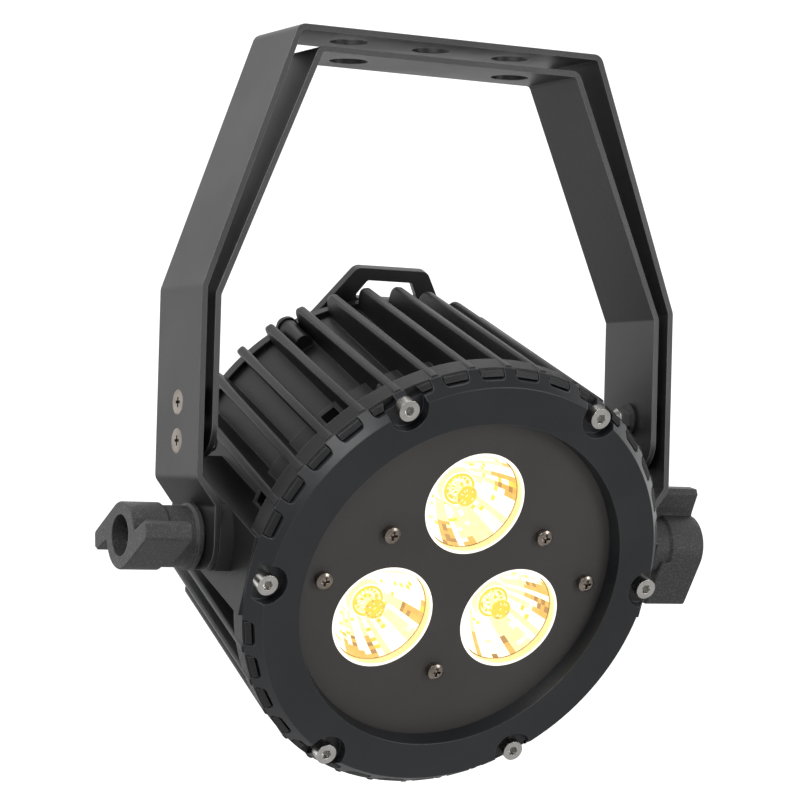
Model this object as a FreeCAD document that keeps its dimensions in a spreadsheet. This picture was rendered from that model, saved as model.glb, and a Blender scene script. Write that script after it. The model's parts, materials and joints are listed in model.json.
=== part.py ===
"""Par can stage light: a finned lamp head tilting in a hanging yoke with a fold-out stand yoke.

Frame: +Z up, -Y is the front, X runs along the tilt axis, millimetres.
Origin: centre of the middle hanging hole, on the top face of the outer yoke.
The head is modelled about its own optical axis (local +Z forward, +Y up) and then tilted.
"""
import FreeCAD, Part
import math
import os
import Sketcher
from FreeCAD import Placement, Rotation, Vector

SIZES = {
    # tilt axis
    "tiltDrop": 167.0,
    "tiltAngle": 24.3,
    # sheet steel yokes
    "sheetThick": 2.0,
    "bendInside": 1.6,
    "outerWide": 32.5,
    "outerTopHalf": 57.6,
    "outerBendDrop": 86.7,
    "outerLean": 20.142,
    "joggleDrop": 148.1,
    "joggleLong": 8.7,
    "joggleLean": 37.8,
    "innerWide": 31.0,
    "innerDrop": 6.4,
    "innerTopHalf": 49.5,
    "innerBendDrop": 89.0,
    "innerLean": 22.787,
    "innerEndDrop": 141.5,
    "hangHole": 6.5,
    "hangPitch": 31.0,
    # stand pivot and guide hardware
    "pivotRise": 43.2,
    "guideRise": 30.8,
    "screwRadius": 2.0,
    "screwHole": 2.05,
    "sinkRadius": 4.1,
    "slotSweep": 60.0,
    "spacerRadius": 5.0,
    "washerRadius": 6.0,
    "washerThick": 0.9,
    "nutAcross": 3.5,
    "nutHigh": 5.0,
    # tilt joint hardware
    "tabDrop": 10.6,
    "tabCorner": 8.5,
    "discRadius": 16.5,
    "boltRadius": 4.0,
    "boltHole": 4.05,
    "boltClear": 4.25,
    "boltHead": 6.5,
    "boltHeadHigh": 8.0,
    "knobWasher": 9.6,
    "knobWasherThick": 1.0,
    "hubRadius": 10.9,
    "hubLong": 24.6,
    "hubWaist": 10.0,
    "hubCollar": 1.6,
    "hubFull": 12.6,
    "hubWeb": 8.6,
    "knobBore": 6.7,
    "wingLong": 16.3,
    "wingTip": 20.8,
    "knobTurn": 4.5,
    # housing
    "bossFace": 75.6,
    "bossHalf": 13.8,
    "bossFront": 28.6,
    "bossBack": 34.0,
    "coreRadius": 62.8,
    "coreInner": 58.4,
    "coreBack": 54.0,
    "wallFront": 8.0,
    "wallBack": 2.0,
    "padRadius": 66.5,
    "padBack": 1.5,
    "collarRadius": 75.5,
    "collarBack": 22.0,
    "collarFront": 29.0,
    "grooveInner": 61.6,
    "grooveOuter": 65.0,
    "grooveDeep": 1.4,
    "finThick": 3.2,
    "finFront": 28.6,
    "finBack": 54.5,
    "finTipFront": 76.1,
    "finTipBack": 71.0,
    "finCorner": 4.0,
    "finEdge": 1.1,
    "capPitch": 70.9,
    "capHole": 2.05,
    "capBoss": 3.4,
    "capDeep": 10.0,
    # bezel
    "bezelFront": 35.0,
    "bezelFlat": 71.0,
    "bezelMouth": 58.2,
    "bezelThroat": 57.0,
    "notchRadius": 72.6,
    "notchWide": 9.0,
    "notchCorner": 1.5,
    "lugRadius": 73.2,
    "lugWide": 8.2,
    "lugRise": 2.3,
    "scallopRadius": 6.8,
    "scallopFloor": 31.0,
    "capHead": 3.5,
    "capHeadHigh": 4.0,
    "capLong": 10.0,
    # front panel and optics
    "panelRadius": 57.6,
    "panelFace": 29.65,
    "panelThick": 1.5,
    "lensPitch": 27.5,
    "lensHole": 18.1,
    "nearScrew": 33.0,
    "farScrew": 49.2,
    "panHead": 2.85,
    "panHeadHigh": 1.9,
    "panShank": 1.5,
    "panLong": 10.0,
    "standoffRadius": 3.2,
    "padThick": 0.3,
    "baseThick": 1.2,
    "baseWide": 19.0,
    "emitterRadius": 6.5,
    "emitterThick": 0.5,
    "domeRadius": 7.2,
    "reflectorBack": 9.5,
    "reflectorNeck": 7.6,
    "ledgeLow": 26.4,
    "ledgeRadius": 16.2,
    "rimInner": 17.0,
    "rimOuter": 18.0,
    "rimFront": 29.5,
    "reflectorWall": 1.0,
    "coverThick": 2.0,
    # rear cover, plate and controls
    "coverRadius": 64.5,
    "coverBack": 58.5,
    "coverFloor": 3.5,
    "coverWall": 4.5,
    "earPitch": 64.6,
    "earRadius": 3.8,
    "plateThick": 3.0,
    "plateRadius": 62.0,
    "loopTop": 74.7,
    "loopTopHalf": 13.6,
    "loopFoot": 55.0,
    "loopFootHalf": 27.0,
    "windowTop": 70.3,
    "windowTopHalf": 8.6,
    "windowLow": 63.6,
    "windowLowHalf": 12.7,
    "plateScrew": 55.0,
    "displayRise": 30.0,
    "displayWide": 38.0,
    "displayHigh": 18.0,
    "buttonRise": 11.0,
    "buttonPitch": 14.0,
    "buttonRadius": 3.2,
    "buttonHole": 3.26,
    "buttonProud": 1.6,
    "powerSide": 30.0,
    "powerRise": -13.0,
    "powerRadius": 10.5,
    "dataSide": 15.0,
    "dataRise": -38.0,
    "dataRadius": 9.5,
    "fuseRise": -12.0,
    "fuseRadius": 6.0,
}
FIN_STEP = 10
SIDES = {"left": -1, "right": 1}
LENS_ANGLES = {"top": 90, "left": 210, "right": 330}
CAP_ANGLES = range(0, 360, 60)
EAR_ANGLES = (55, 125, 235, 305)
NEAR_SCREWS = (30, 150, 270)
FAR_SCREWS = (0, 180)
BUTTONS = ("menu", "down", "up", "enter")

doc = FreeCAD.newDocument("par_can_light")
sheet = doc.addObject("Spreadsheet::Sheet", "Sizes")
for row, (alias, size) in enumerate(SIZES.items(), start=1):
    sheet.set("A%d" % row, alias)
    sheet.set("B%d" % row, str(size))
    sheet.setAlias("B%d" % row, alias)
doc.recompute()

HEAD = Placement(Vector(0, 0, -SIZES["tiltDrop"]), Rotation(Vector(1, 0, 0), 90 + SIZES["tiltAngle"]))
parts = {}


def linked(text):
    """Write an expression's sheet names as references to the sheet."""
    words = []
    word = ""
    for mark in text + " ":
        if mark.isalnum():
            word += mark
            continue
        words.append("Sizes." + word if word in SIZES else word)
        words.append(mark)
        word = ""
    return "".join(words).strip()


def bind(thing, **sizes):
    for name, text in sizes.items():
        thing.setExpression(name.replace("__", "."), linked(text))
    return thing


def keep(name, thing, placement=None):
    """Name a finished sub-part and put it in its place."""
    thing.Label = name
    if placement is not None:
        thing.Placement = placement
    parts[name] = thing
    return thing


def turned(radius, across, angle):
    """Corner at a radius and an offset across it, turned about the centre."""
    corner = "(%s) * cos(%s) - (%s) * sin(%s)", "(%s) * sin(%s) + (%s) * cos(%s)"
    return tuple(text % (radius, angle, across, angle) for text in corner)


# ---------------------------------------------------------------- sketches and features


def new_body(name):
    return doc.addObject("PartDesign::Body", name)


def new_sketch(body, role, rise=None, turn=None):
    """Sketch on one of the body's origin planes, lifted by an expression or turned about its Y."""
    sketch = body.newObject("Sketcher::SketchObject", "Sketch")
    plane = [item for item in body.Origin.OriginFeatures if item.Role == role][0]
    sketch.AttachmentSupport = (plane, [""])
    sketch.MapMode = "FlatFace"
    if turn is not None:
        sketch.AttachmentOffset = Placement(Vector(), Rotation(Vector(0, 1, 0), turn))
    if rise is not None:
        bind(sketch, AttachmentOffset__Base__z=rise)
    return sketch


def pin_point(sketch, geometry, end, x_text, y_text):
    """Hold a point at two expressions measured from the sketch's origin."""
    for kind, text in (("DistanceX", x_text), ("DistanceY", y_text)):
        index = sketch.addConstraint(Sketcher.Constraint(kind, -1, 1, geometry, end, 1.0))
        sketch.setExpression("Constraints[%d]" % index, linked(text))


def draw_outline(sketch, corners):
    """Closed polygon through corners given as pairs of expressions."""
    first = sketch.GeometryCount
    count = len(corners)
    ring = [Vector(5 * math.cos(2 * math.pi * i / count), 5 * math.sin(2 * math.pi * i / count), 0)
            for i in range(count)]
    sides = [Part.LineSegment(ring[i], ring[(i + 1) % count]) for i in range(count)]
    sketch.addGeometry(sides, False)
    for i in range(count):
        sketch.addConstraint(Sketcher.Constraint("Coincident", first + i, 2, first + (i + 1) % count, 1))
    for i, (x_text, y_text) in enumerate(corners):
        pin_point(sketch, first + i, 1, x_text, y_text)


def draw_circle(sketch, x_text, y_text, radius):
    index = sketch.addGeometry(Part.Circle(Vector(1, 1, 0), Vector(0, 0, 1), 2.0), False)
    pin_point(sketch, index, 3, x_text, y_text)
    ring = sketch.addConstraint(Sketcher.Constraint("Radius", index, 2.0))
    sketch.setExpression("Constraints[%d]" % ring, linked(radius))


def pad(body, sketch, length, middle=False):
    feature = body.newObject("PartDesign::Pad", "Pad")
    feature.Profile = sketch
    feature.Midplane = middle
    bind(feature, Length=length)
    return feature


def pocket(body, sketch, length, middle=False, reverse=False):
    feature = body.newObject("PartDesign::Pocket", "Pocket")
    feature.Profile = sketch
    feature.Midplane = middle
    feature.Reversed = reverse
    bind(feature, Length=length)
    return feature


def revolve(body, corners):
    """Turn an outline of (radius, height) corners about the body's Z axis."""
    sketch = new_sketch(body, "XZ_Plane")
    draw_outline(sketch, corners)
    feature = body.newObject("PartDesign::Revolution", "Revolution")
    feature.Profile = sketch
    feature.ReferenceAxis = (sketch, ["V_Axis"])
    feature.Angle = 360
    return feature


def round_edges(body, base, radius, chosen):
    """Fillet the edges of a feature that a test picks out."""
    doc.recompute()
    names = ["Edge%d" % i for i, edge in enumerate(base.Shape.Edges, start=1) if chosen(edge)]
    feature = body.newObject("PartDesign::Fillet", "Fillet")
    feature.Base = (base, names)
    bind(feature, Radius=radius)
    return feature


def runs_along(edge, axis):
    if edge.Curve.TypeId != "Part::GeomLine":
        return False
    way = edge.Vertexes[1].Point.sub(edge.Vertexes[0].Point)
    return abs(abs(way.normalize().dot(axis)) - 1) < 1e-6


def circles(places, radius):
    return [(x_text, y_text, radius) for x_text, y_text in places]


def drill(body, role, holes, length, rise=None, middle=False, reverse=False):
    sketch = new_sketch(body, role, rise)
    for x_text, y_text, radius in holes:
        draw_circle(sketch, x_text, y_text, radius)
    return pocket(body, sketch, length, middle, reverse)


# ---------------------------------------------------------------- primitives and booleans


def cylinder(radius, height, at=Vector(), turn=Rotation()):
    thing = doc.addObject("Part::Cylinder", "Cylinder")
    thing.Placement = Placement(at, turn)
    return bind(thing, Radius=radius, Height=height)


def cone(low, high, height, at=Vector()):
    thing = doc.addObject("Part::Cone", "Cone")
    thing.Placement = Placement(at, Rotation())
    return bind(thing, Radius1=low, Radius2=high, Height=height)


def prism(radius, height, at=Vector()):
    thing = doc.addObject("Part::Prism", "Hexagon")
    thing.Polygon = 6
    thing.Placement = Placement(at, Rotation())
    return bind(thing, Circumradius=radius, Height=height)


def block(length, width, height, middle, turn=0):
    """Box standing on the plane through `middle`, centred on it in X and Y."""
    thing = doc.addObject("Part::Box", "Box")
    bind(thing, Length=length, Width=width, Height=height)
    doc.recompute()
    shift = Placement(Vector(-thing.Length.Value / 2, -thing.Width.Value / 2, 0), Rotation())
    thing.Placement = Placement(middle, Rotation(Vector(0, 0, 1), turn)).multiply(shift)
    return thing


def cut(base, tool):
    thing = doc.addObject("Part::Cut", "Cut")
    thing.Base = base
    thing.Tool = tool
    return thing


def fuse(pieces):
    thing = doc.addObject("Part::MultiFuse", "Fusion")
    thing.Shapes = pieces
    return thing


def group(pieces):
    thing = doc.addObject("Part::Compound", "Group")
    thing.Links = pieces
    return thing


def move(thing, placement):
    thing.Placement = placement.multiply(thing.Placement)
    return thing


def at_angle(pitch, angle, height=0.0):
    return Vector(pitch * math.cos(math.radians(angle)), pitch * math.sin(math.radians(angle)), height)


def cross_recess(height, deep="1.2"):
    """Cross-head recess reaching down from a height, as two crossed bars."""
    low = Vector(0, 0, height - float(deep))
    return fuse([block("3.2", "0.9", deep + " + 0.5", low), block("0.9", "3.2", deep + " + 0.5", low)])


def outward(side, reach, rise):
    """Placement with local Z pointing out along X on one side of the yokes."""
    turn = Rotation(Vector(0, 1, 0), 90 * SIDES[side])
    return Placement(Vector(SIDES[side] * reach, 0, rise - SIZES["tiltDrop"]), turn)


# ---------------------------------------------------------------- yokes


OUTER_HALF = "(outerTopHalf + outerBendDrop * tan(outerLean))"
TAB_HALF = "(%s - joggleLong * tan(joggleLean))" % OUTER_HALF
INNER_HALF = "(innerTopHalf + (innerBendDrop - innerDrop) * tan(innerLean))"
OUTER_REACH = SIZES["outerTopHalf"] + SIZES["outerBendDrop"] * math.tan(math.radians(SIZES["outerLean"]))
TAB_REACH = OUTER_REACH - SIZES["joggleLong"] * math.tan(math.radians(SIZES["joggleLean"]))
INNER_REACH = (SIZES["innerTopHalf"] + (SIZES["innerBendDrop"] - SIZES["innerDrop"])
               * math.tan(math.radians(SIZES["innerLean"])))


def strip(body, outer, inner, width):
    """Bent strip: half outlines run from the top middle to the end and are mirrored."""
    there = [(x_text, z_text) for x_text, z_text in outer]
    back = [(x_text, z_text) for x_text, z_text in reversed(inner)]
    right = there + back
    left = [("-(%s)" % x_text, z_text) for x_text, z_text in reversed(right)]
    sketch = new_sketch(body, "XZ_Plane")
    draw_outline(sketch, right + left)
    return pad(body, sketch, width, middle=True)


def bend_test(half_profile, scale):
    """Edges across the strip that lie on one of the bend corners."""
    def chosen(edge):
        if not runs_along(edge, Vector(0, 1, 0)):
            return False
        middle = edge.Vertexes[0].Point
        return any(abs(abs(middle.x) - x) < scale and abs(middle.z - z) < scale for x, z in half_profile)
    return chosen


def end_test(level):
    def chosen(edge):
        return runs_along(edge, Vector(1, 0, 0)) and abs(edge.Vertexes[0].Point.z - level) < 0.01
    return chosen


def bend_points(outer_points):
    return bend_test(outer_points, 0.01)


def make_outer_yoke():
    body = new_body("outer_yoke")
    half_top = "sheetThick * tan(45 - outerLean / 2)"
    outer = [("outerTopHalf", "0"),
             (OUTER_HALF, "-outerBendDrop"),
             (OUTER_HALF, "-joggleDrop"),
             (TAB_HALF, "-(joggleDrop + joggleLong)"),
             (TAB_HALF, "-(tiltDrop + tabDrop)")]
    inner = [("outerTopHalf - " + half_top, "-sheetThick"),
             (OUTER_HALF + " - sheetThick", "-outerBendDrop - sheetThick * tan(outerLean / 2)"),
             (OUTER_HALF + " - sheetThick", "-joggleDrop + sheetThick * tan(joggleLean / 2)"),
             (TAB_HALF + " - sheetThick", "-(joggleDrop + joggleLong) + sheetThick * tan(joggleLean / 2)"),
             (TAB_HALF + " - sheetThick", "-(tiltDrop + tabDrop)")]
    plate = strip(body, outer, inner, "outerWide")
    thick = SIZES["sheetThick"]
    lean = math.radians(SIZES["outerLean"])
    joggle = math.radians(SIZES["joggleLean"])
    low_z = -SIZES["joggleDrop"] - SIZES["joggleLong"]
    outside = [(SIZES["outerTopHalf"], 0), (OUTER_REACH, -SIZES["outerBendDrop"]),
               (TAB_REACH - thick, low_z + thick * math.tan(joggle / 2)),
               (OUTER_REACH, -SIZES["joggleDrop"])]
    inside = [(SIZES["outerTopHalf"] - thick * math.tan(math.pi / 4 - lean / 2), -thick),
              (OUTER_REACH - thick, -SIZES["outerBendDrop"] - thick * math.tan(lean / 2)),
              (OUTER_REACH - thick, -SIZES["joggleDrop"] + thick * math.tan(joggle / 2)),
              (TAB_REACH, low_z)]
    bent = round_edges(body, plate, "bendInside + sheetThick", bend_points(outside))
    bent = round_edges(body, bent, "bendInside", bend_points(inside))
    end = -SIZES["tiltDrop"] - SIZES["tabDrop"]
    round_edges(body, bent, "tabCorner", end_test(end))
    places = [("-hangPitch", "0"), ("0", "0"), ("hangPitch", "0")]
    drill(body, "XY_Plane", circles(places, "hangHole"), "2 * sheetThick")
    holes = [("0", "-(tiltDrop - pivotRise)", "screwRadius + 0.1"),
             ("0", "-(tiltDrop - guideRise)", "screwRadius + 0.1"), ("0", "-tiltDrop", "boltClear")]
    drill(body, "YZ_Plane", holes, "2 * outerTopHalf + 4 * outerWide", middle=True)
    sinks = []
    for side in SIDES:
        for rise in (SIZES["pivotRise"], SIZES["guideRise"]):
            sink = cone("screwRadius + 0.1", "sinkRadius", "sheetThick")
            sinks.append(move(sink, outward(side, OUTER_REACH - thick, rise)))
    keep("outer_yoke", cut(body, fuse(sinks)))


def make_inner_yoke():
    body = new_body("inner_yoke")
    half_top = "sheetThick * tan(45 - innerLean / 2)"
    outer = [("innerTopHalf", "-innerDrop"), (INNER_HALF, "-innerBendDrop"), (INNER_HALF, "-innerEndDrop")]
    inner = [("innerTopHalf - " + half_top, "-innerDrop - sheetThick"),
             (INNER_HALF + " - sheetThick", "-innerBendDrop - sheetThick * tan(innerLean / 2)"),
             (INNER_HALF + " - sheetThick", "-innerEndDrop")]
    plate = strip(body, outer, inner, "innerWide")
    thick = SIZES["sheetThick"]
    lean = math.radians(SIZES["innerLean"])
    outside = [(SIZES["innerTopHalf"], -SIZES["innerDrop"]), (INNER_REACH, -SIZES["innerBendDrop"])]
    inside = [(SIZES["innerTopHalf"] - thick * math.tan(math.pi / 4 - lean / 2), -SIZES["innerDrop"] - thick),
              (INNER_REACH - thick, -SIZES["innerBendDrop"] - thick * math.tan(lean / 2))]
    bent = round_edges(body, plate, "bendInside + sheetThick", bend_points(outside))
    bent = round_edges(body, bent, "bendInside", bend_points(inside))
    round_edges(body, bent, "innerWide / 3", end_test(-SIZES["innerEndDrop"]))
    places = [("-hangPitch", "0"), ("hangPitch", "0")]
    drill(body, "XY_Plane", circles(places, "hangHole"), "2 * sheetThick", rise="-innerDrop + 1")
    pivot = "-(tiltDrop - pivotRise)"
    arc = "(pivotRise - guideRise)"
    holes = [("0", pivot, "screwHole"), ("0", "%s - %s" % (pivot, arc), "screwHole"),
             ("%s * sin(slotSweep)" % arc, "%s - %s * cos(slotSweep)" % (pivot, arc), "screwHole")]
    drill(body, "YZ_Plane", holes, "2 * innerTopHalf + 4 * innerWide", middle=True)
    slot = new_sketch(body, "XZ_Plane")
    bind(slot, AttachmentOffset__Base__y=pivot)
    for sign in ("", "-"):
        reach = [sign + "(%s - 2 * sheetThick)" % INNER_HALF, sign + "(%s + sheetThick)" % INNER_HALF]
        edge = ["-%s - screwHole" % arc, "-%s + screwHole" % arc]
        draw_outline(slot, [(reach[0], edge[0]), (reach[1], edge[0]), (reach[1], edge[1]), (reach[0], edge[1])])
    groove = body.newObject("PartDesign::Groove", "Groove")
    groove.Profile = slot
    groove.ReferenceAxis = (slot, ["H_Axis"])
    bind(groove, Angle="slotSweep")
    keep("inner_yoke", body)


# ---------------------------------------------------------------- stand pivot hardware


def make_stand_hardware():
    thick = SIZES["sheetThick"]
    inner_face = INNER_REACH - thick
    reach = OUTER_REACH - (inner_face - SIZES["washerThick"] - SIZES["nutHigh"]) + 0.4
    nodes = {"stand_pivot_screws": SIZES["pivotRise"], "stand_guide_screws": SIZES["guideRise"]}
    for name, rise in nodes.items():
        screws = []
        for side in SIDES:
            head = cone("screwRadius", "sinkRadius - 0.05", "sheetThick", Vector(0, 0, -thick))
            shank = cylinder("screwRadius", str(reach - thick), Vector(0, 0, -reach))
            whole = cut(fuse([head, shank]), cross_recess(0, "1.1"))
            screws.append(move(whole, outward(side, OUTER_REACH, rise)))
        keep(name, group(screws))
    spacers = []
    washers = []
    nuts = []
    gap = "(%s - sheetThick - %s)" % (OUTER_HALF, INNER_HALF)
    for side in SIDES:
        for rise in (SIZES["pivotRise"], SIZES["guideRise"]):
            ring = cut(cylinder("spacerRadius", gap), cylinder("screwHole", gap))
            spacers.append(move(ring, outward(side, INNER_REACH, rise)))
            ring = cut(cylinder("washerRadius", "washerThick"), cylinder("screwHole", "washerThick"))
            washers.append(move(ring, outward(side, inner_face - SIZES["washerThick"], rise)))
            low = Vector(0, 0, -SIZES["nutHigh"])
            hexagon = prism("nutAcross / cos(30)", "nutHigh - 1.2", Vector(0, 0, -SIZES["nutHigh"] + 1.2))
            collar = cone("nutAcross - 0.5", "nutAcross", "1.2", low)
            nut = cut(fuse([hexagon, collar]), cylinder("screwRadius", "nutHigh", low))
            nuts.append(move(nut, outward(side, inner_face - SIZES["washerThick"], rise)))
    keep("stand_spacers", group(spacers))
    keep("stand_washers", group(washers))
    keep("stand_nuts", group(nuts))


# ---------------------------------------------------------------- tilt joint hardware


def knob_turn(side):
    """Turn from the knob's own frame (Z outward, wing along Y) to its place on one side."""
    if side == "right":
        upright = Rotation(Vector(0, 1, 0), Vector(0, 0, 1), Vector(1, 0, 0), "ZXY")
        return upright.multiply(Rotation(Vector(0, 0, 1), SIZES["knobTurn"]))
    return Rotation(Vector(0, 0, -1), Vector(0, -1, 0), Vector(-1, 0, 0), "ZXY")


def wing_corners():
    """One knob wing along Y: a flank tangent to the hub, a blunt tip and a hooked inner flank."""
    tip = (0.7, SIZES["wingTip"])
    reach = math.hypot(*tip)
    touch = math.atan2(tip[1], tip[0]) - math.acos(SIZES["hubRadius"] / reach)
    base = (SIZES["hubRadius"] * math.cos(touch), SIZES["hubRadius"] * math.sin(touch))
    return [base, tip, (-4.2, tip[1] - 0.5), (-5.1, tip[1] - 2.4), (-2.2, 11.8), (-1.6, 9.5), (0, 0)]


def make_knob(side):
    name = side + "_knob"
    body = new_body(name)
    shoulder = "(hubLong - hubFull)"
    revolve(body, [("0", "0"), ("hubRadius", "0"), ("hubRadius", "hubCollar"), ("hubWaist", "hubCollar + 0.5"),
                   ("hubWaist", shoulder + " - 1.2"), ("hubRadius", shoulder), ("hubRadius", "hubLong"),
                   ("0", "hubLong")])
    corners = wing_corners()
    for sign in (1, -1):
        sketch = new_sketch(body, "XY_Plane", rise="hubLong - wingLong")
        draw_outline(sketch, [("%f" % (sign * x), "%f" % (sign * y)) for x, y in corners])
        blade = pad(body, sketch, "wingLong")
    tip = corners[1]
    hook = corners[4]

    def along(edge, corner):
        spot = edge.Vertexes[0].Point
        near = min(math.hypot(sign * spot.x - corner[0], sign * spot.y - corner[1]) for sign in (1, -1))
        return runs_along(edge, Vector(0, 0, 1)) and near < 0.01
    rounded = round_edges(body, blade, "1.4", lambda edge: along(edge, tip))
    rounded = round_edges(body, rounded, "0.9", lambda edge: along(edge, hook))
    low = SIZES["hubLong"] - SIZES["wingLong"]

    def inner_end(edge):
        level = edge.BoundBox
        far = math.hypot(edge.CenterOfMass.x, edge.CenterOfMass.y)
        return abs(level.ZMin - low) < 0.01 and level.ZLength < 0.01 and far > 18
    rounded = round_edges(body, rounded, "0.8", inner_end)
    top = SIZES["hubLong"]

    def face_edge(edge):
        return abs(edge.BoundBox.ZMin - top) < 0.01 and edge.BoundBox.ZLength < 0.01
    round_edges(body, rounded, "0.5", face_edge)
    drill(body, "XY_Plane", [("0", "0", "knobBore")], "hubLong - hubWeb", rise="hubLong")
    drill(body, "XY_Plane", [("0", "0", "boltRadius")], "hubLong", reverse=True)
    seat = Placement(Vector(SIDES[side] * (TAB_REACH + SIZES["knobWasherThick"]), 0, -SIZES["tiltDrop"]),
                     knob_turn(side))
    keep(name, body, seat)
    low = SIZES["hubWeb"]
    head = cylinder("boltHead", "boltHeadHigh", Vector(0, 0, low))
    start = 62 - TAB_REACH - SIZES["knobWasherThick"]
    shank = cylinder("boltRadius", "%f" % (low - start), Vector(0, 0, start))
    socket = prism("3 / cos(30)", "5", Vector(0, 0, low + 4))
    keep(name + "_bolt", cut(fuse([head, shank]), socket), seat)


def make_tilt_hardware():
    thick = SIZES["sheetThick"]
    washers = []
    for side in SIDES:
        disc_long = "%f" % (TAB_REACH - thick - SIZES["bossFace"])
        round_disc = cut(cylinder("discRadius", disc_long), cylinder("boltClear", disc_long))
        disc = doc.addObject("Part::Common", "FlatSidedDisc")
        disc.Base = round_disc
        disc.Tool = block("2 * tabDrop", "2 * discRadius + 2", disc_long, Vector())
        keep(side + "_spacer_disc", disc, outward(side, SIZES["bossFace"], 0))
        ring = cut(cylinder("knobWasher", "knobWasherThick"), cylinder("boltClear", "knobWasherThick"))
        washers.append(move(ring, outward(side, TAB_REACH, 0)))
        make_knob(side)
    keep("knob_washers", group(washers))


# ---------------------------------------------------------------- housing


def make_fins():
    """Radial fins in two fans, above and below the side bosses, with rounded tips."""
    fans = []
    tip_line = Vector(SIZES["finTipFront"] - SIZES["finTipBack"], 0, SIZES["finFront"] + SIZES["finBack"])
    tip_line.normalize()
    for start in (20, 200):
        body = new_body("fins_%d" % start)
        sketch = new_sketch(body, "XZ_Plane")
        draw_outline(sketch, [("coreRadius - 1.5", "-coreBack"), ("coverRadius + 0.3", "-coreBack"),
                              ("coverRadius + 0.3", "-finBack"), ("finTipBack", "-finBack"),
                              ("finTipFront", "finFront"), ("coreRadius - 1.5", "finFront")])
        blade = pad(body, sketch, "finThick", middle=True)

        def corner(edge):
            middle = edge.CenterOfMass
            across = runs_along(edge, Vector(0, 1, 0))
            return across and abs(middle.x - SIZES["finTipBack"]) < 0.01

        def tip(edge):
            return runs_along(edge, tip_line)
        rounded = round_edges(body, blade, "finCorner", corner)
        round_edges(body, rounded, "finEdge", tip)
        keep_angle = Placement(Vector(), Rotation(Vector(0, 0, 1), start))
        body.Placement = keep_angle
        fans.append(body)
        for step in range(1, 15):
            link = doc.addObject("Part::Compound", "Fin")
            link.Links = [body]
            link.Placement = Placement(Vector(), Rotation(Vector(0, 0, 1), step * FIN_STEP))
            fans.append(link)
    return fans


def lug_angles():
    return [angle for angle in range(15, 355, 10) if 10 < angle % 180 < 170]


def make_housing():
    core = new_body("housing_core")
    revolve(core, [("0", "wallBack"), ("coreInner", "wallBack"), ("coreInner", "-coreBack"),
                   ("coreRadius", "-coreBack"), ("coreRadius", "padBack"), ("padRadius", "padBack"),
                   ("padRadius", "collarBack"), ("collarRadius", "collarBack"),
                   ("collarRadius", "collarFront"), ("grooveOuter", "collarFront"),
                   ("grooveOuter", "collarFront - grooveDeep"), ("grooveInner", "collarFront - grooveDeep"),
                   ("grooveInner", "collarFront"), ("coreInner", "collarFront"),
                   ("coreInner", "wallFront"), ("0", "wallFront")])
    lugs = new_sketch(core, "XY_Plane", rise="collarFront - 2")
    for angle in lug_angles():
        draw_outline(lugs, [turned(radius, across, str(angle)) for radius, across in
                            (("lugRadius", "-lugWide / 2"), ("collarRadius - 0.6", "-lugWide / 2"),
                             ("collarRadius - 0.6", "lugWide / 2"), ("lugRadius", "lugWide / 2"))])
    pad(core, lugs, "lugRise + 2")
    bevel = new_sketch(core, "XZ_Plane")
    drop = "lugRise"
    draw_outline(bevel, [("lugRadius + 0.1", "collarFront + " + drop), ("collarRadius + 1", "collarFront + 0.01"),
                         ("collarRadius + 1", "collarFront + %s + 1" % drop),
                         ("lugRadius + 0.1", "collarFront + %s + 1" % drop)])
    slope = core.newObject("PartDesign::Groove", "LugBevel")
    slope.Profile = bevel
    slope.ReferenceAxis = (bevel, ["V_Axis"])
    slope.Angle = 360
    pieces = [core]
    for side, sign in SIDES.items():
        length = SIZES["bossFace"] - SIZES["coreInner"] - 1
        middle = Vector(sign * (SIZES["bossFace"] - length / 2), 0, -SIZES["bossBack"])
        pieces.append(block("bossFace - coreInner - 1", "2 * bossHalf", "bossBack + bossFront", middle))
    for angle in CAP_ANGLES:
        pieces.append(cylinder("capBoss", "6", at_angle(SIZES["capPitch"], angle, 17)))
    for angle in EAR_ANGLES:
        pieces.append(cylinder("earRadius - 0.6", "14", at_angle(SIZES["earPitch"], angle, -SIZES["coreBack"])))
    solid = fuse(pieces + make_fins())
    tools = []
    for angle in CAP_ANGLES:
        spot = at_angle(SIZES["capPitch"], angle, SIZES["collarFront"] - SIZES["capDeep"])
        tools.append(cylinder("capHole", "capDeep + 5", spot))
        spot = at_angle(SIZES["capPitch"], angle, SIZES["collarFront"])
        tools.append(cylinder("scallopRadius + 0.4", "5", spot))
    for angle in EAR_ANGLES:
        spot = at_angle(SIZES["earPitch"], angle, -SIZES["coreBack"] - 1)
        tools.append(cylinder("1.5", "14.5", spot))
    for sign in SIDES.values():
        spot = Vector(sign * 61, 0, 0)
        tools.append(cylinder("boltHole", "20", spot, Rotation(Vector(0, 1, 0), 90 * sign)))
    for angle in [a for a in lug_angles() if a % 30 == 15]:
        tools.append(block("8", "5.4", "8.5", at_angle(SIZES["padRadius"], angle, 3.6), angle))
    tools.append(cylinder("4.5", "10", Vector(0, 0, 0)))
    groove = Vector(0, 0, SIZES["collarFront"] - SIZES["grooveDeep"])
    tools.append(cut(cylinder("grooveOuter", "5", groove), cylinder("grooveInner", "5", groove)))
    for radius, angles in (("nearScrew", NEAR_SCREWS), ("farScrew", FAR_SCREWS)):
        for angle in angles:
            tools.append(cylinder("1.25", "4", at_angle(SIZES[radius], angle, SIZES["wallFront"] - 4)))
    keep("heatsink_housing", cut(solid, fuse(tools)), HEAD)


# ---------------------------------------------------------------- bezel, gasket and panel


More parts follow.
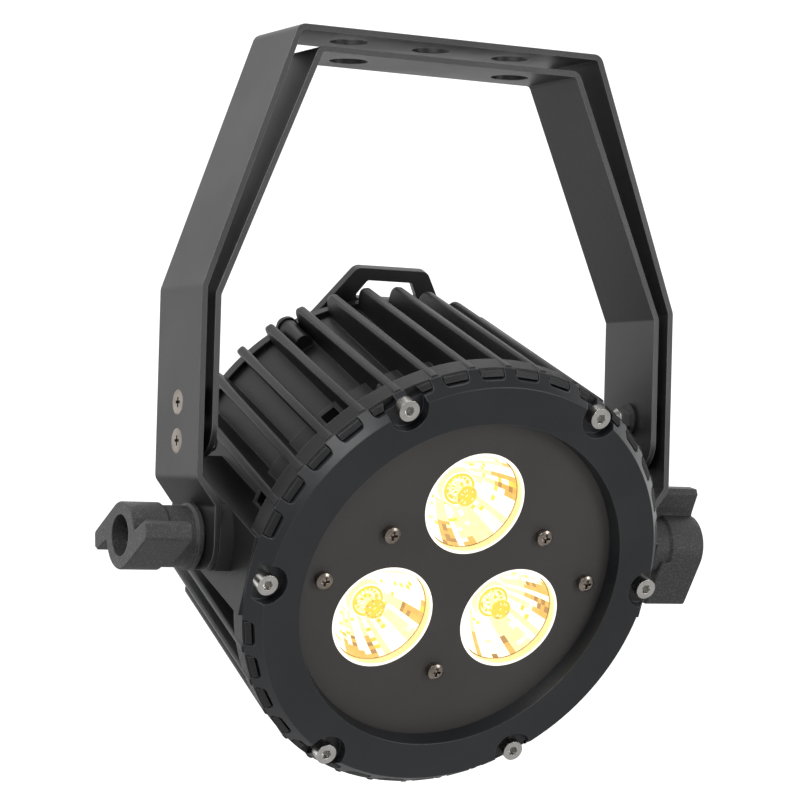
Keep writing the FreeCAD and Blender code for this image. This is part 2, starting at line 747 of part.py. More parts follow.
def make_bezel():
    body = new_body("front_bezel")
    ring = revolve(body, [("bezelThroat", "panelFace + 0.1"), ("coreInner - 0.1", "panelFace + 0.1"),
                          ("coreInner - 0.1", "collarFront"), ("collarRadius", "collarFront"),
                          ("bezelFlat", "bezelFront"), ("bezelMouth", "bezelFront")])
    notches = new_sketch(body, "XY_Plane", rise="collarFront - 1")
    for angle in lug_angles():
        draw_outline(notches, [turned(radius, across, str(angle)) for radius, across in
                               (("notchRadius", "-notchWide / 2"), ("collarRadius + 4", "-notchWide / 2"),
                                ("collarRadius + 4", "notchWide / 2"), ("notchRadius", "notchWide / 2"))])
    cutout = pocket(body, notches, "12", reverse=True)
    inner = math.hypot(SIZES["notchRadius"], SIZES["notchWide"] / 2)

    def notch_corner(edge):
        spot = edge.Vertexes[0].Point
        return runs_along(edge, Vector(0, 0, 1)) and abs(math.hypot(spot.x, spot.y) - inner) < 0.05
    rounded = round_edges(body, cutout, "notchCorner", notch_corner)
    places = [turned("capPitch", "0", str(angle)) for angle in CAP_ANGLES]
    drill(body, "XY_Plane", circles(places, "scallopRadius"), "12", rise="scallopFloor", reverse=True)
    drill(body, "XY_Plane", circles(places, "screwRadius + 0.2"), "12", rise="collarFront - 1", reverse=True)
    keep("front_bezel", body, HEAD)
    gasket = new_body("bezel_gasket")
    bottom = "collarFront - grooveDeep"
    revolve(gasket, [("grooveInner + 0.1", bottom), ("grooveOuter - 0.1", bottom),
                     ("grooveOuter - 0.1", "collarFront"), ("grooveInner + 0.1", "collarFront")])
    keep("bezel_gasket", gasket, HEAD)
    screws = []
    for angle in CAP_ANGLES:
        floor = SIZES["scallopFloor"]
        head = cylinder("capHead", "capHeadHigh", at_angle(SIZES["capPitch"], angle, floor))
        shank = cylinder("screwRadius", "capLong", at_angle(SIZES["capPitch"], angle, floor - SIZES["capLong"]))
        socket = prism("1.5 / cos(30)", "3", at_angle(SIZES["capPitch"], angle, floor + 1.8))
        screws.append(cut(fuse([head, shank]), socket))
    keep("bezel_screws", group(screws), HEAD)


def panel_screw_places():
    near = [at_angle(SIZES["nearScrew"], angle) for angle in NEAR_SCREWS]
    return near + [at_angle(SIZES["farScrew"], angle) for angle in FAR_SCREWS]


def make_panel():
    body = new_body("front_panel")
    sketch = new_sketch(body, "XY_Plane", rise="panelFace - panelThick")
    draw_circle(sketch, "0", "0", "panelRadius")
    for angle in LENS_ANGLES.values():
        draw_circle(sketch, *turned("lensPitch", "0", str(angle)), "lensHole")
    for angle in NEAR_SCREWS:
        draw_circle(sketch, *turned("nearScrew", "0", str(angle)), "panShank + 0.15")
    for angle in FAR_SCREWS:
        draw_circle(sketch, *turned("farScrew", "0", str(angle)), "panShank + 0.15")
    pad(body, sketch, "panelThick")
    keep("front_panel", body, HEAD)
    screws = []
    standoffs = []
    face = SIZES["panelFace"]
    back = face - SIZES["panelThick"]
    for place in panel_screw_places():
        head = cylinder("panHead", "panHeadHigh", place + Vector(0, 0, face))
        dome = cone("panHead", "panHead - 0.8", "0.5", place + Vector(0, 0, face + SIZES["panHeadHigh"]))
        shank = cylinder("panShank", "panLong", place + Vector(0, 0, face - SIZES["panLong"]))
        recess = cross_recess(face + SIZES["panHeadHigh"] + 0.5, "1.3")
        screws.append(cut(fuse([head, dome, shank]), move(recess, Placement(place, Rotation()))))
        rise = "panelFace - panelThick - wallFront"
        post = cylinder("standoffRadius", rise, place + Vector(0, 0, SIZES["wallFront"]))
        bore = cylinder("panShank", "10", place + Vector(0, 0, back - 10))
        standoffs.append(cut(post, bore))
    keep("panel_screws", group(screws), HEAD)
    keep("panel_standoffs", group(standoffs), HEAD)


# ---------------------------------------------------------------- optics


def make_optics():
    pads = []
    for place, angle in LENS_ANGLES.items():
        seat = HEAD.multiply(Placement(at_angle(SIZES["lensPitch"], angle), Rotation()))
        reflector = new_body("reflector_" + place)
        revolve(reflector, [("reflectorNeck", "reflectorBack"), ("ledgeRadius", "ledgeLow"),
                            ("rimInner", "ledgeLow"), ("rimInner", "rimFront"), ("rimOuter", "rimFront"),
                            ("rimOuter", "ledgeLow - 1"), ("ledgeRadius + reflectorWall", "ledgeLow - 1.6"),
                            ("reflectorNeck + reflectorWall", "reflectorBack")])
        keep("reflector_" + place, reflector, seat)
        cover = cylinder("rimInner - 0.05", "coverThick", Vector(0, 0, SIZES["ledgeLow"]))
        keep("lens_cover_" + place, cover, seat.multiply(cover.Placement))
        low = SIZES["wallFront"]
        pads.append(cylinder("baseWide / 2 + 1.5", "padThick", at_angle(SIZES["lensPitch"], angle, low)))
        low += SIZES["padThick"]
        base = block("baseWide", "baseWide", "baseThick", Vector(0, 0, low), angle)
        keep("led_base_" + place, base, seat.multiply(base.Placement))
        low += SIZES["baseThick"]
        emitter = cylinder("emitterRadius", "emitterThick", Vector(0, 0, low))
        keep("led_emitter_" + place, emitter, seat.multiply(emitter.Placement))
        low += SIZES["emitterThick"]
        dome = new_body("dome_lens_" + place)
        flat = "(wallFront + padThick + baseThick + emitterThick)"
        revolve(dome, [("0", flat), ("domeRadius", flat), ("domeRadius", flat + " + 1"),
                       ("domeRadius * cos(30)", flat + " + 1 + domeRadius * sin(30)"),
                       ("domeRadius * cos(60)", flat + " + 1 + domeRadius * sin(60)"),
                       ("0", flat + " + 1 + domeRadius")])
        keep("dome_lens_" + place, dome, seat)
    keep("thermal_pads", group(pads), HEAD)
    leads = []
    for angle in LENS_ANGLES.values():
        rise = cylinder("1.1", "33", at_angle(3, angle, -24))
        turn = Rotation(Vector(0, 0, 1), angle).multiply(Rotation(Vector(0, 1, 0), 90))
        reach = cylinder("1.1", "lensPitch - baseWide / 2 - 2", at_angle(2, angle, 9.7), turn)
        leads.append(fuse([rise, reach]))
    keep("led_leads", group(leads), HEAD)


# ---------------------------------------------------------------- rear cover, plate and controls


def rear(x, y, back):
    """Placement at a spot on the back of the head, with local Z pointing out of the back."""
    return HEAD.multiply(Placement(Vector(x, y, -back), Rotation(Vector(0, 1, 0), 180)))


def make_rear_cover():
    body = new_body("rear_cover")
    revolve(body, [("0", "-coverBack"), ("coverRadius - 1.5", "-coverBack"), ("coverRadius", "-coverBack + 1.5"),
                   ("coverRadius", "-coreBack"), ("coverRadius - coverWall", "-coreBack"),
                   ("coverRadius - coverWall", "-coverBack + coverFloor"), ("0", "-coverBack + coverFloor")])
    places = [turned("earPitch", "0", str(angle)) for angle in EAR_ANGLES]
    sketch = new_sketch(body, "XY_Plane", rise="-coverBack + 3")
    for x_text, y_text in places:
        draw_circle(sketch, x_text, y_text, "earRadius")
    pad(body, sketch, "coverBack - 3 - coreBack")
    drill(body, "XY_Plane", circles(places, "1.65"), "20", rise="-coverBack - 1", reverse=True)
    sunk = [turned("earPitch", "0", str(angle)) for angle in EAR_ANGLES]
    drill(body, "XY_Plane", circles(sunk, "3.1"), "4", rise="-coverBack - 1", reverse=True)
    taps = [turned("plateScrew", "0", str(angle)) for angle in (45, 135, 225, 315)]
    drill(body, "XY_Plane", circles(taps, "1.5"), "9", rise="-coverBack - 1", reverse=True)
    openings = [("-powerSide", "powerRise", "powerRadius - 1"), ("powerSide", "powerRise", "powerRadius - 1"),
                ("-dataSide", "dataRise", "dataRadius - 1"), ("dataSide", "dataRise", "dataRadius - 1"),
                ("0", "fuseRise", "fuseRadius - 1")]
    for index in range(len(BUTTONS)):
        openings.append(("(%d - 1.5) * buttonPitch" % index, "buttonRise", "buttonRadius + 1.4"))
    drill(body, "XY_Plane", openings, "9", rise="-coverBack - 1", reverse=True)
    sketch = new_sketch(body, "XY_Plane", rise="-coverBack - 1")
    half = "(displayWide / 2 - 2)"
    tall = "(displayHigh / 2 - 2)"
    draw_outline(sketch, [("-" + half, "displayRise - " + tall), (half, "displayRise - " + tall),
                          (half, "displayRise + " + tall), ("-" + half, "displayRise + " + tall)])
    pocket(body, sketch, "9", reverse=True)
    keep("rear_cover", body, HEAD)
    screws = []
    for angle in EAR_ANGLES:
        floor = SIZES["coverBack"] - 3
        head = cylinder("2.8", "1.8", Vector(0, 0, 0))
        shank = cylinder("1.5", "14", Vector(0, 0, -14))
        whole = cut(fuse([head, shank]), cross_recess(1.8, "1.1"))
        spot = at_angle(SIZES["earPitch"], angle, -floor)
        screws.append(move(whole, Placement(spot, Rotation(Vector(0, 1, 0), 180))))
    keep("rear_cover_screws", group(screws), HEAD)


def make_rear_plate():
    body = new_body("safety_loop_plate")
    sketch = new_sketch(body, "XY_Plane", rise="-coverBack - plateThick")
    draw_circle(sketch, "0", "0", "plateRadius")
    disc = pad(body, sketch, "plateThick")
    sketch = new_sketch(body, "XY_Plane", rise="-coverBack - plateThick")
    draw_outline(sketch, [("-loopFootHalf", "loopFoot"), ("loopFootHalf", "loopFoot"),
                          ("loopTopHalf", "loopTop"), ("-loopTopHalf", "loopTop")])
    loop = pad(body, sketch, "plateThick")
    top = SIZES["loopTop"]

    def loop_corner(edge):
        return runs_along(edge, Vector(0, 0, 1)) and abs(edge.Vertexes[0].Point.y - top) < 0.01
    rounded = round_edges(body, loop, "3.5", loop_corner)

    def foot_corner(edge):
        spot = edge.Vertexes[0].Point
        return runs_along(edge, Vector(0, 0, 1)) and 50 < spot.y < top - 1
    round_edges(body, rounded, "6", foot_corner)
    sketch = new_sketch(body, "XY_Plane", rise="-coverBack - plateThick - 1")
    draw_outline(sketch, [("-windowLowHalf", "windowLow"), ("windowLowHalf", "windowLow"),
                          ("windowTopHalf", "windowTop"), ("-windowTopHalf", "windowTop")])
    window = pocket(body, sketch, "plateThick + 2", reverse=True)
    low = SIZES["windowLow"]
    high = SIZES["windowTop"]

    def window_corner(edge):
        spot = edge.Vertexes[0].Point
        return runs_along(edge, Vector(0, 0, 1)) and min(abs(spot.y - low), abs(spot.y - high)) < 0.01
    round_edges(body, window, "1.2", window_corner)
    holes = [("-powerSide", "powerRise", "powerRadius - 1"), ("powerSide", "powerRise", "powerRadius - 1"),
             ("-dataSide", "dataRise", "dataRadius - 1"), ("dataSide", "dataRise", "dataRadius - 1"),
             ("0", "fuseRise", "fuseRadius - 1")]
    for index in range(len(BUTTONS)):
        holes.append(("(%d - 1.5) * buttonPitch" % index, "buttonRise", "buttonHole"))
    for angle in (45, 135, 225, 315):
        holes.append(turned("plateScrew", "0", str(angle)) + ("1.65",))
    drill(body, "XY_Plane", holes, "plateThick + 2", rise="-coverBack - plateThick - 1", reverse=True)
    sketch = new_sketch(body, "XY_Plane", rise="-coverBack - plateThick - 1")
    half = "(displayWide / 2 - 2)"
    tall = "(displayHigh / 2 - 2)"
    draw_outline(sketch, [("-" + half, "displayRise - " + tall), (half, "displayRise - " + tall),
                          (half, "displayRise + " + tall), ("-" + half, "displayRise + " + tall)])
    pocket(body, sketch, "plateThick + 2", reverse=True)
    keep("safety_loop_plate", body, HEAD)
    screws = []
    face = SIZES["coverBack"] + SIZES["plateThick"]
    for angle in (45, 135, 225, 315):
        head = cylinder("2.8", "1.8")
        shank = cylinder("1.5", "5.5", Vector(0, 0, -5.5))
        whole = cut(fuse([head, shank]), cross_recess(1.8, "1.1"))
        spot = at_angle(SIZES["plateScrew"], angle, -face)
        screws.append(move(whole, Placement(spot, Rotation(Vector(0, 1, 0), 180))))
    keep("plate_screws", group(screws), HEAD)


def make_sockets():
    face = SIZES["coverBack"] + SIZES["plateThick"]
    for name, sign in (("power_inlet", -1), ("power_outlet", 1)):
        body = new_body(name)
        revolve(body, [("0", "-9"), ("powerRadius - 1.1", "-9"), ("powerRadius - 1.1", "0"),
                       ("powerRadius + 2.5", "0"), ("powerRadius + 2.5", "2"), ("powerRadius", "2"),
                       ("powerRadius", "6.5"), ("powerRadius - 1.8", "6.5"), ("powerRadius - 1.8", "1"),
                       ("powerRadius - 4.4", "1"), ("powerRadius - 4.4", "5.2"), ("0", "5.2")])
        sketch = new_sketch(body, "XY_Plane", rise="5.2")
        for angle in (90, 210, 330):
            draw_outline(sketch, [turned(radius, across, str(angle)) for radius, across in
                                  (("2.2", "-0.7"), ("5.2", "-0.7"), ("5.2", "0.7"), ("2.2", "0.7"))])
        pocket(body, sketch, "3")
        keep(name, body, rear(sign * SIZES["powerSide"], SIZES["powerRise"], face))
    for name, sign in (("data_input", -1), ("data_output", 1)):
        body = new_body(name)
        revolve(body, [("0", "-9"), ("dataRadius - 1.1", "-9"), ("dataRadius - 1.1", "0"),
                       ("dataRadius + 2.5", "0"), ("dataRadius + 2.5", "1.8"), ("dataRadius", "2.4"),
                       ("dataRadius", "4.2"), ("dataRadius - 1.6", "4.2"), ("dataRadius - 1.6", "0.8"),
                       ("0", "0.8")])
        spots = [turned("4.2", "0", str(angle)) for angle in (90, 210, 330)]
        sketch = new_sketch(body, "XY_Plane", rise="0.5")
        if name == "data_input":
            for x_text, y_text in spots:
                draw_circle(sketch, x_text, y_text, "1.1")
            pad(body, sketch, "3.2")
        else:
            draw_circle(sketch, "0", "0", "dataRadius - 1.4")
            pad(body, sketch, "3")
            drill(body, "XY_Plane", circles(spots, "1.25"), "3", rise="3.5")
        keep(name, body, rear(sign * SIZES["dataSide"], SIZES["dataRise"], face))
    body = new_body("fuse_cap")
    revolve(body, [("0", "-9"), ("fuseRadius - 1.1", "-9"), ("fuseRadius - 1.1", "0"), ("fuseRadius + 1", "0"),
                   ("fuseRadius + 1", "1.5"), ("fuseRadius - 0.5", "1.5"), ("fuseRadius - 0.8", "6"), ("0", "6")])
    slot = new_sketch(body, "XY_Plane", rise="6")
    draw_outline(slot, [("-4", "-0.6"), ("4", "-0.6"), ("4", "0.6"), ("-4", "0.6")])
    pocket(body, slot, "1.5")
    keep("fuse_cap", body, rear(0, SIZES["fuseRise"], face))


def make_controls():
    face = SIZES["coverBack"] + SIZES["plateThick"]
    window = block("displayWide", "displayHigh", "1.2", Vector())
    keep("display_window", window, rear(0, SIZES["displayRise"], face).multiply(window.Placement))
    module = block("displayWide - 5", "displayHigh - 5", "6.6", Vector(0, 0, -6.6))
    keep("display_module", module, rear(0, SIZES["displayRise"], face).multiply(module.Placement))
    for index, name in enumerate(BUTTONS):
        body = new_body("button_" + name)
        revolve(body, [("0", "-plateThick - 2.2"), ("buttonRadius + 0.9", "-plateThick - 2.2"),
                       ("buttonRadius + 0.9", "-plateThick - 1.2"), ("buttonRadius", "-plateThick - 1.2"),
                       ("buttonRadius", "buttonProud - 0.5"), ("buttonRadius - 0.5", "buttonProud"),
                       ("0", "buttonProud")])
        x = -(index - 1.5) * SIZES["buttonPitch"]
        keep("button_" + name, body, rear(x, SIZES["buttonRise"], face))
    board = block("82", "42", "1.6", Vector(0, 20, -54.9))
    keep("control_board", board, HEAD.multiply(board.Placement))
    spots = [Vector((index - 1.5) * SIZES["buttonPitch"], SIZES["buttonRise"], -55.4) for index in range(4)]
    keep("button_switches", group([block("5", "5", "0.5", spot) for spot in spots]), HEAD)
    ribbon = block("1.2", "12", "27.7", Vector(37, 20, -53.3))
    keep("ribbon_cable", ribbon, HEAD.multiply(ribbon.Placement))


# ---------------------------------------------------------------- driver


def make_driver():
    posts = []
    for angle in (45, 135, 225, 315):
        posts.append(cylinder("2.5", "wallBack + 24", at_angle(40, angle, -24)))
    keep("driver_posts", group(posts), HEAD)
    board = cylinder("50", "1.6", Vector(0, 0, -25.6))
    keep("driver_board", board, HEAD.multiply(board.Placement))
    pieces = [block("24", "20", "16", Vector(18, 16, -41.6)), block("16", "16", "11", Vector(-20, 20, -36.6)),
              cylinder("6", "18", Vector(-22, -14, -43.6)), cylinder("6", "18", Vector(-6, -18, -43.6)),
              block("30", "8", "14", Vector(24, -20, -39.6))]
    keep("driver_components", group(pieces), HEAD)


make_outer_yoke()
make_inner_yoke()
make_stand_hardware()
make_tilt_hardware()
make_housing()
make_bezel()
make_panel()
make_optics()
make_rear_cover()
make_rear_plate()
make_sockets()
make_controls()
make_driver()
doc.recompute()

broken = [thing.Name for thing in doc.Objects if {"Invalid", "Error"} & set(thing.State)]
for name, thing in parts.items():
    if thing.Shape.isNull() or not thing.Shape.isValid() or not thing.Shape.Solids:
        broken.append(name)
if broken:
    raise RuntimeError("failed objects: " + ", ".join(broken))
os.makedirs("parts", exist_ok=True)
for name, thing in parts.items():
    thing.Shape.exportStep("parts/%s.step" % name)
    box = thing.Shape.BoundBox
    print("%-22s solids %2d volume %10.1f  z %7.1f..%7.1f" % (
        name, len(thing.Shape.Solids), thing.Shape.Volume, box.ZMin, box.ZMax))
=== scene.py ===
import json
import math
import random

import bpy
from mathutils import Matrix, Vector


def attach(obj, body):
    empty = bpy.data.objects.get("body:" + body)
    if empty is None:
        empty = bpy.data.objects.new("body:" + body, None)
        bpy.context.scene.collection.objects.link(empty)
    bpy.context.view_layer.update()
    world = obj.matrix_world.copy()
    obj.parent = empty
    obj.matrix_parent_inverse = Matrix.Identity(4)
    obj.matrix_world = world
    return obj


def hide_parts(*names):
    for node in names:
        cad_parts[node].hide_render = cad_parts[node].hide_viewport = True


# Looks for the par can light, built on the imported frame. Metres, +Z up, front faces -Y.

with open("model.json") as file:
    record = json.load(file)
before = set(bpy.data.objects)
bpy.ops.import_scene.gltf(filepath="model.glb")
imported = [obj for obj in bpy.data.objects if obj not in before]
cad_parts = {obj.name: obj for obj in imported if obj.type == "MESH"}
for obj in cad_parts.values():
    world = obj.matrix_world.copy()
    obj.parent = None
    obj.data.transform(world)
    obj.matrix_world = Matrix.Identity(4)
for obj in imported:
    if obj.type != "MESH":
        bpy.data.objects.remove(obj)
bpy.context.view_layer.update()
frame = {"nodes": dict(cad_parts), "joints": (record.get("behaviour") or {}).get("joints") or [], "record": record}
rng = random.Random(7)
joints = {joint["name"]: joint for joint in frame["joints"]}

# The head's own frame: its origin is on the knob axis and its +Z points out of the lenses.
REST_TILT = 24.3
HEAD_TURN = Matrix.Rotation(math.radians(90 + REST_TILT), 4, "X")
HEAD = Matrix.Translation(joints["head_tilt"]["pos_m"]) @ HEAD_TURN
LENS_PITCH = 0.0275
LENSES = {"top": 90, "left": 210, "right": 330}


# ---------------------------------------------------------------- shader helpers


class Shader:
    """A material with its principled node and short ways to add procedural detail to it."""

    def __init__(self, name):
        self.name = name
        self.material = bpy.data.materials.new(name)
        self.material.use_nodes = True
        self.tree = self.material.node_tree
        self.surface = self.tree.nodes["Principled BSDF"]
        self.place = self.add("ShaderNodeTexCoord").outputs["Object"]

    def add(self, kind, **values):
        node = self.tree.nodes.new(kind)
        for name, value in values.items():
            setattr(node, name, value)
        return node

    def link(self, output, socket):
        self.tree.links.new(output, socket)

    def put(self, **values):
        for name, value in values.items():
            self.surface.inputs[name.replace("_", " ")].default_value = value

    def noise(self, scale, detail=3.0, rough=0.55, stretch=None):
        node = self.add("ShaderNodeTexNoise")
        node.inputs["Scale"].default_value = scale
        node.inputs["Detail"].default_value = detail
        node.inputs["Roughness"].default_value = rough
        place = self.place
        if stretch is not None:
            mapping = self.add("ShaderNodeMapping")
            mapping.inputs["Scale"].default_value = stretch
            self.link(place, mapping.inputs["Vector"])
            place = mapping.outputs["Vector"]
        self.link(place, node.inputs["Vector"])
        return node.outputs["Fac"]

    def spread(self, value, low, high, low_to, high_to):
        node = self.add("ShaderNodeMapRange")
        self.link(value, node.inputs["Value"])
        for name, number in (("From Min", low), ("From Max", high), ("To Min", low_to), ("To Max", high_to)):
            node.inputs[name].default_value = number
        return node.outputs["Result"]

    def blend(self, factor, first, second):
        node = self.add("ShaderNodeMix", data_type="RGBA")
        self.link(factor, node.inputs["Factor"])
        for socket, colour in ((6, first), (7, second)):
            if isinstance(colour, tuple):
                node.inputs[socket].default_value = (*colour, 1)
            else:
                self.link(colour, node.inputs[socket])
        return node.outputs[2]

    def product(self, first, second):
        node = self.add("ShaderNodeMath", operation="MULTIPLY")
        self.link(first, node.inputs[0])
        self.link(second, node.inputs[1])
        return node.outputs["Value"]

    def overlay(self, mask, colour):
        """Lays a colour over the present base colour where the mask is set."""
        base = self.surface.inputs["Base Color"]
        self.link(self.blend(mask, base.links[0].from_socket, colour), base)

    def rim(self, edge, strength):
        """Mask along sharp edges, from how far a rounded normal leans away from the true one; it places painted
        edge highlights.
        """
        rounding = self.add("ShaderNodeBevel", samples=4)
        rounding.inputs["Radius"].default_value = edge
        lean = self.add("ShaderNodeVectorMath", operation="DOT_PRODUCT")
        self.link(rounding.outputs["Normal"], lean.inputs[0])
        self.link(self.add("ShaderNodeNewGeometry").outputs["Normal"], lean.inputs[1])
        return self.spread(lean.outputs["Value"], 0.80, 0.97, strength, 0.0)

    def relief(self, heights, edge):
        """Bumps from (height output, depth in metres) pairs, over edges rounded by a small radius."""
        rounding = self.add("ShaderNodeBevel", samples=4)
        rounding.inputs["Radius"].default_value = edge
        normal = rounding.outputs["Normal"]
        for height, depth in heights:
            bump = self.add("ShaderNodeBump")
            bump.inputs["Distance"].default_value = depth
            bump.inputs["Strength"].default_value = 1.0
            self.link(height, bump.inputs["Height"])
            self.link(normal, bump.inputs["Normal"])
            normal = bump.outputs["Normal"]
        self.link(normal, self.surface.inputs["Normal"])


# Light grey for the painted highlight along sharp edges, where rounded edges would catch the light.
EDGE_HIGHLIGHT = (0.30, 0.30, 0.31)


def painted(name, colour, rough, grain, depth, edge=0.0004, specular=0.5, speck=0.35, rim=0.0):
    """Paint or plastic: fine grain, slow colour drift, slight roughness drift and a painted highlight along sharp
    edges.
    """
    s = Shader(name)
    fine = s.noise(grain, 4.0, 0.6)
    slow = s.noise(22.0, 3.0)
    lighter = tuple(min(1.0, c * 1.35 + 0.002) for c in colour)
    lightest = tuple(min(1.0, c * 2.2 + 0.006) for c in colour)
    tone = s.blend(s.spread(slow, 0.35, 0.7, 0.0, 1.0), colour, lighter)
    flecks = s.spread(fine, 0.62 - 0.1 * speck, 0.75 - 0.15 * speck, 0.0, speck)
    tone = s.blend(flecks, tone, lightest)
    # Painted highlight: the colour turns light grey along sharp edges, as far as the rim strength says.
    if rim > 0:
        tone = s.blend(s.rim(edge, rim), tone, EDGE_HIGHLIGHT)
    s.link(tone, s.surface.inputs["Base Color"])
    s.link(s.spread(slow, 0.3, 0.7, rough - 0.04, rough + 0.05), s.surface.inputs["Roughness"])
    s.put(Specular_IOR_Level=specular)
    s.relief([(fine, depth)], edge)
    return s


def metal(name, colour, rough, edge=0.00025, grain=3000.0, stretch=None):
    """Plated or machined metal: thin tool marks, tarnish drift and rounded edges."""
    s = Shader(name)
    marks = s.noise(grain, 3.0, 0.5, stretch)
    slow = s.noise(180.0, 3.0)
    dull = tuple(c * 0.68 for c in colour)
    s.link(s.blend(s.spread(slow, 0.3, 0.75, 0.0, 1.0), colour, dull), s.surface.inputs["Base Color"])
    s.put(Metallic=1.0)
    s.link(s.spread(slow, 0.3, 0.7, rough - 0.05, rough + 0.1), s.surface.inputs["Roughness"])
    s.relief([(marks, 0.000012)], edge)
    return s


def clear_cover(name, tint, index):
    """Thin clear cover: see-through, with reflections on its outer side that grow at grazing angles."""
    s = Shader(name)
    see = s.add("ShaderNodeBsdfTransparent")
    see.inputs["Color"].default_value = (*tint, 1)
    shine = s.add("ShaderNodeBsdfGlossy")
    fresnel = s.add("ShaderNodeFresnel")
    fresnel.inputs["IOR"].default_value = index
    smear = s.spread(s.noise(90.0), 0.3, 0.8, 0.02, 0.07)
    s.link(smear, shine.inputs["Roughness"])
    inside = s.add("ShaderNodeNewGeometry").outputs["Backfacing"]
    outside = s.spread(inside, 0.0, 1.0, 1.0, 0.0)
    mix = s.add("ShaderNodeMixShader")
    s.link(s.product(fresnel.outputs["Fac"], outside), mix.inputs["Fac"])
    s.link(see.outputs["BSDF"], mix.inputs[1])
    s.link(shine.outputs["BSDF"], mix.inputs[2])
    s.link(mix.outputs["Shader"], s.tree.nodes["Material Output"].inputs["Surface"])
    return s


def speckled_panel():
    """Panel paint with sparse lighter dots."""
    s = painted("panel_paint", (0.030, 0.0265, 0.0245), 0.52, 2600.0, 0.00005, specular=0.7)
    dots = s.add("ShaderNodeTexVoronoi")
    dots.inputs["Scale"].default_value = 1500.0
    s.link(s.place, dots.inputs["Vector"])
    pick = s.spread(dots.outputs["Distance"], 0.10, 0.16, 1.0, 0.0)
    sparse = s.spread(s.noise(900.0), 0.58, 0.62, 0.0, 1.0)
    s.overlay(s.product(pick, sparse), (0.10, 0.085, 0.075))
    return s


def phosphor():
    """Lit chips under yellow phosphor."""
    s = Shader("led_phosphor")
    cells = s.add("ShaderNodeTexVoronoi")
    cells.inputs["Scale"].default_value = 900.0
    s.link(s.place, cells.inputs["Vector"])
    away = s.spread(cells.outputs["Distance"], 0.0, 0.6, 0.0, 1.0)
    warm = s.blend(away, (1.0, 0.80, 0.30), (1.0, 0.62, 0.10))
    s.link(warm, s.surface.inputs["Base Color"])
    s.link(warm, s.surface.inputs["Emission Color"])
    s.put(Emission_Strength=1.6, Roughness=0.5)
    return s


def lit_reflector():
    """Facets that glow with painted reflected light; the lit tint is painted on each facet."""
    s = Shader("reflector_bright")
    tint = s.add("ShaderNodeAttribute", attribute_name="lit").outputs["Color"]
    grain = s.noise(600.0, 2.0)
    s.put(Base_Color=(0.22, 0.17, 0.10, 1), Metallic=1.0, Roughness=0.22)
    s.link(tint, s.surface.inputs["Emission Color"])
    s.put(Emission_Strength=1.0)
    s.relief([(grain, 0.00002)], 0.0001)
    return s


def board(name, colour):
    """Circuit board with lighter wavy tracks."""
    s = painted(name, colour, 0.4, 1200.0, 0.00002)
    lines = s.add("ShaderNodeTexWave")
    lines.inputs["Scale"].default_value = 120.0
    lines.inputs["Distortion"].default_value = 6.0
    s.link(s.place, lines.inputs["Vector"])
    s.overlay(s.spread(lines.outputs["Fac"], 0.7, 0.8, 0.0, 0.7), tuple(c * 2.0 for c in colour))
    return s


BLACK = (0.0085, 0.0085, 0.0092)
FINISHES = (
    painted("yoke_paint", BLACK, 0.42, 1800.0, 0.00005, 0.0005, speck=0.8, rim=0.75),
    painted("stand_paint", BLACK, 0.40, 1800.0, 0.00005, 0.0005, speck=0.8, rim=0.75),
    metal("arm_screw_nickel", (0.28, 0.245, 0.215), 0.28),
    metal("zinc_nut", (0.62, 0.62, 0.61), 0.28),
    painted("black_washer", (0.012, 0.012, 0.013), 0.50, 1800.0, 0.00002),
    metal("zinc_washer", (0.06, 0.06, 0.065), 0.38),
    painted("knob_plastic", (0.030, 0.030, 0.031), 0.50, 1500.0, 0.0003, 0.0006, speck=1.0, rim=0.25),
    metal("bolt_steel", (0.06, 0.06, 0.065), 0.38),
    painted("housing_cast", (0.0062, 0.0062, 0.0068),
            0.42, 1300.0, 0.00009, 0.0005, specular=0.42, rim=0.22),
    painted("bezel_paint", (0.0100, 0.0110, 0.0128), 0.34, 1500.0, 0.000025, 0.0005, rim=0.18),
    painted("gasket_rubber", (0.02, 0.02, 0.02), 0.7, 1500.0, 0.00003),
    metal("cap_screw_steel", (0.66, 0.64, 0.61), 0.26),
    speckled_panel(),
    metal("pan_screw_nickel", (0.36, 0.31, 0.27), 0.27),
    metal("standoff_brass", (0.72, 0.56, 0.26), 0.35),
    lit_reflector(),
    clear_cover("cover_glass", (1.0, 0.985, 0.95), 1.35),
    clear_cover("dome_glass", (1.0, 0.96, 0.84), 1.9),
    phosphor(),
    metal("led_base_metal", (0.8, 0.78, 0.72), 0.4),
    painted("thermal_pad", (0.30, 0.32, 0.35), 0.8, 1500.0, 0.00003),
    board("board_green", (0.02, 0.13, 0.05)),
    painted("component_black", (0.03, 0.03, 0.032), 0.4, 1500.0, 0.00002),
    painted("lead_wire", (0.30, 0.03, 0.02), 0.45, 1500.0, 0.00002),
    painted("rear_cover_paint", (0.0085, 0.0085, 0.009), 0.46, 1500.0, 0.00005, 0.0006),
    painted("rear_plate_paint", (0.0095, 0.0095, 0.0102), 0.40, 2000.0, 0.000025, 0.0004, rim=0.6),
    metal("rear_screw_black", (0.12, 0.12, 0.125), 0.32),
    painted("socket_black", (0.014, 0.014, 0.015), 0.34, 1800.0, 0.00002),
    painted("power_in_plastic", (0.012, 0.055, 0.27), 0.36, 1800.0, 0.00002),
    painted("power_out_plastic", (0.36, 0.37, 0.38), 0.36, 1800.0, 0.00002),
    painted("display_glass", (0.010, 0.014, 0.022), 0.10, 600.0, 0.000004),
    painted("button_plastic", (0.03, 0.03, 0.032), 0.38, 1800.0, 0.00002),
)
MATERIALS = {finish.name: finish.material for finish in FINISHES}

for part in frame["record"]["subparts"]:
    node = frame["nodes"][part["node"]]
    node.data.materials.clear()
    node.data.materials.append(MATERIALS[part["material_slot"]])


# ---------------------------------------------------------------- faceted reflectors


